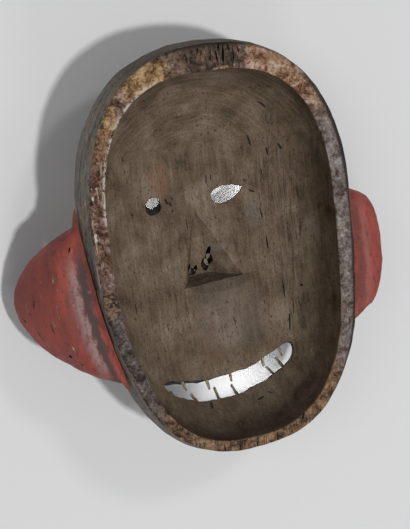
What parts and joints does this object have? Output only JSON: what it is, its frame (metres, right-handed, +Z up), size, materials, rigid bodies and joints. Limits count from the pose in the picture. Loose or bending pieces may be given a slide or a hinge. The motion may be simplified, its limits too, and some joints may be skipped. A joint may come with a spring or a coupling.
{
  "type": "carved wooden mask",
  "caption": "Oval hollow carved wooden mask lying on its face, with half-round side ears, cut-out eyes, a nose pit and a grinning mouth with peg teeth.",
  "frame": {"origin": "centre of the footprint, on the ground under the mask as it lies on its face", "axes": "+X across the face, to the right as seen from the hollow side; +Y from the chin to the forehead; +Z up, out of the hollow"},
  "size_m": [0.2998, 0.3044, 0.088],
  "materials": {
    "patinated_wood": "old grey-brown carved wood, mottled ochre and rust on the rim, worn dark paint outside",
    "red_painted_wood": "worn dull red paint on wood",
    "pale_peg_wood": "pale bare wood"
  },
  "bodies": {
    "root": {"Mask_Shell": "patinated_wood", "Ear_Left": "red_painted_wood", "Ear_Right": "red_painted_wood", "Upper_Tooth_1": "pale_peg_wood", "Upper_Tooth_2": "pale_peg_wood", "Upper_Tooth_3": "pale_peg_wood", "Upper_Tooth_4": "pale_peg_wood", "Upper_Tooth_5": "pale_peg_wood", "Lower_Tooth_1": "pale_peg_wood", "Lower_Tooth_2": "pale_peg_wood", "Lower_Tooth_3": "pale_peg_wood", "Lower_Tooth_4": "pale_peg_wood", "Lower_Tooth_5": "pale_peg_wood", "Lower_Tooth_6": "pale_peg_wood"}
  },
  "joints": []
}
